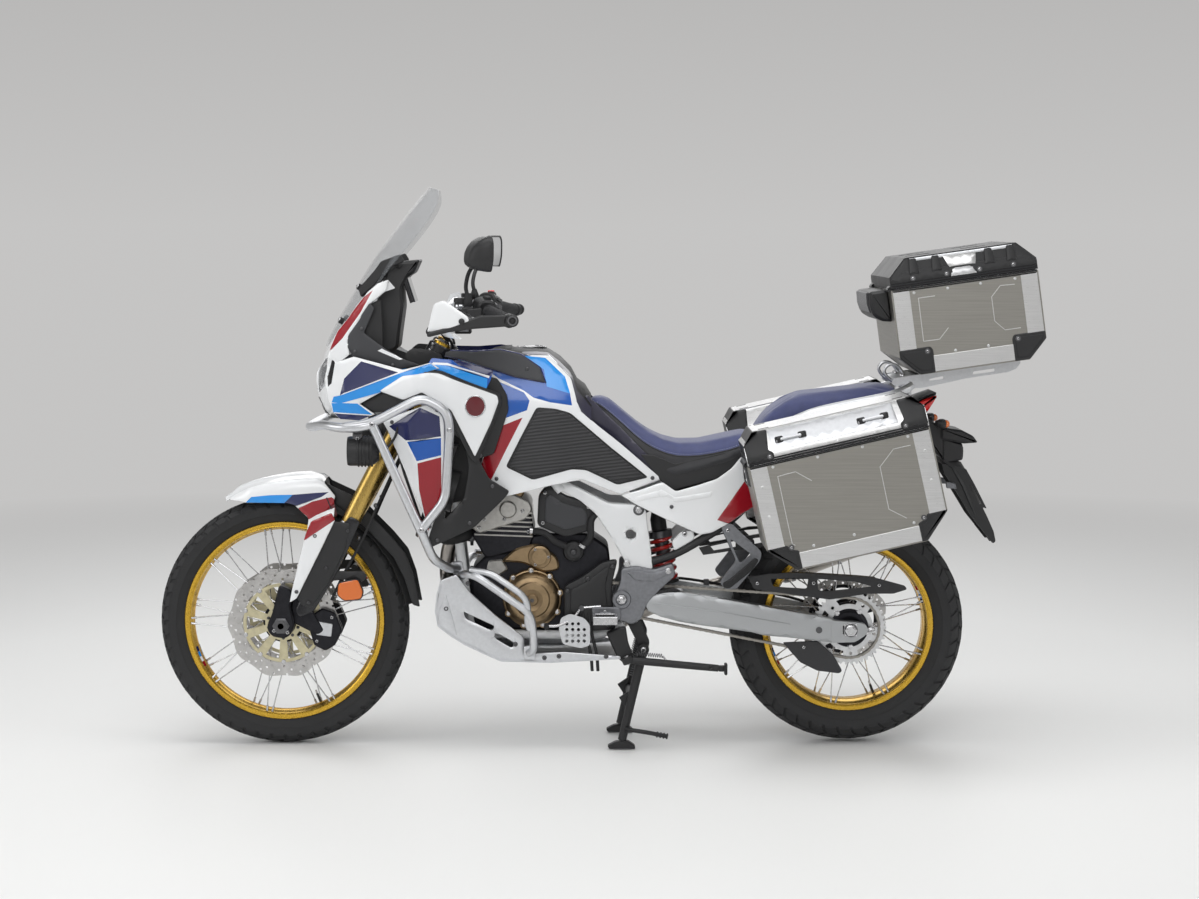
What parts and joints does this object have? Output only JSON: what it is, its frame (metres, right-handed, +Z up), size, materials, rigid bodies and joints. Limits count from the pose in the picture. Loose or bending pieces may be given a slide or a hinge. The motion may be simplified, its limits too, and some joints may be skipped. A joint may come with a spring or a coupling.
{
  "type": "adventure motorcycle",
  "caption": "Adventure touring motorcycle with spoked wheels, high windscreen, crash bars, aluminium side cases and top case, parked on its centre stand.",
  "frame": {"origin": "on the floor, below the middle of the machine's overall box", "axes": "+X forwards, +Y to the rider's left, +Z up"},
  "size_m": [2.4554, 0.94, 1.56],
  "materials": {
    "tyre": "satin",
    "gold_rim": "satin gold anodised",
    "hub_black": "satin black",
    "disc_steel": "brushed",
    "sprocket_silver": "machined",
    "axle_steel": "machined",
    "fork_gold": "gold anodised",
    "black_metal": "satin black",
    "white_paint": "gloss white",
    "white_frame": "satin white",
    "engine_cast": "cast, dark",
    "exhaust_steel": "brushed",
    "silver_plate": "satin",
    "case_aluminium": "brushed",
    "radiator_dark": "matt",
    "tank_paint": "gloss blue, white and grey",
    "lamp_lens": "clear",
    "screen_clear": "clear, faintly smoked",
    "bar_silver": "satin silver",
    "seat_cover": "blue vinyl with black sides",
    "black_plastic": "grained",
    "tail_red": "gloss red",
    "shock_red": "gloss",
    "chain_steel": "oiled",
    "swingarm_aluminium": "satin"
  },
  "bodies": {
    "chassis": {"frame": "white_frame", "subframe": "black_metal", "engine": "engine_cast", "exhaust": "exhaust_steel", "skid_plate": "silver_plate", "radiators": "radiator_dark", "fuel_tank": "tank_paint", "side_fairings": "white_paint", "nose_cowl": "white_paint", "headlights": "lamp_lens", "windscreen": "screen_clear", "crash_bars": "bar_silver", "seat_front": "seat_cover", "seat_rear": "seat_cover", "tail_covers": "white_paint", "luggage_rack": "bar_silver", "rear_mudguard": "black_plastic", "tail_light": "tail_red", "pannier_boxes": "case_aluminium", "top_box": "case_aluminium", "swingarm": "swingarm_aluminium", "rear_axle": "axle_steel", "rear_shock": "shock_red", "chain": "chain_steel", "footpegs": "bar_silver"},
    "steering": {"triple_clamps": "black_metal", "fork_legs": "fork_gold", "front_axle": "axle_steel", "handlebar": "black_metal", "hand_guards": "white_paint", "mirrors": "black_plastic", "front_mudguard": "white_paint"},
    "front_wheel": {"front_tyre": "tyre", "front_rim": "gold_rim", "front_hub": "hub_black", "front_discs": "disc_steel"},
    "rear_wheel": {"rear_tyre": "tyre", "rear_rim": "gold_rim", "rear_hub": "hub_black", "rear_sprocket": "sprocket_silver"},
    "centre_stand": {"centre_stand": "black_metal"},
    "side_stand": {"side_stand": "black_metal"},
    "pannier_lid_left": {"pannier_lid_left": "case_aluminium"},
    "pannier_lid_right": {"pannier_lid_right": "case_aluminium"},
    "top_box_lid": {"top_box_lid": "case_aluminium"}
  },
  "joints": [
    {"name": "steering_turn", "type": "hinge", "parent": "chassis", "child": "steering", "pos_m": [0.47216, 0, 1], "axis": [-0.4617, 0, 0.887], "range_deg": [-40, 40]},
    {"name": "front_wheel_spin", "type": "hinge", "parent": "steering", "child": "front_wheel", "pos_m": [0.87972, 0, 0.348], "axis": [0, 1, 0], "continuous": true},
    {"name": "rear_wheel_spin", "type": "hinge", "parent": "chassis", "child": "rear_wheel", "pos_m": [-0.69528, 0, 0.334], "axis": [0, 1, 0], "continuous": true},
    {"name": "centre_stand_fold", "type": "hinge", "parent": "chassis", "child": "centre_stand", "pos_m": [-0.12178, 0, 0.28], "axis": [0, 1, 0], "range_deg": [0, 102]},
    {"name": "side_stand_swing", "type": "hinge", "parent": "chassis", "child": "side_stand", "pos_m": [-0.07778, 0.166, 0.258], "axis": [0.0108, -0.9064, -0.4222], "range_deg": [0, 105]},
    {"name": "pannier_lid_left_hinge", "type": "hinge", "parent": "chassis", "child": "pannier_lid_left", "pos_m": [-0.38095, 0.353, 0.81845], "axis": [0, 1, 0], "range_deg": [0, 85]},
    {"name": "pannier_lid_right_hinge", "type": "hinge", "parent": "chassis", "child": "pannier_lid_right", "pos_m": [-0.38095, -0.368, 0.81845], "axis": [0, 1, 0], "range_deg": [0, 85]},
    {"name": "top_box_lid_hinge", "type": "hinge", "parent": "chassis", "child": "top_box_lid", "pos_m": [-0.78285, 0, 1.27503], "axis": [0, 1, 0], "range_deg": [0, 85]}
  ]
}
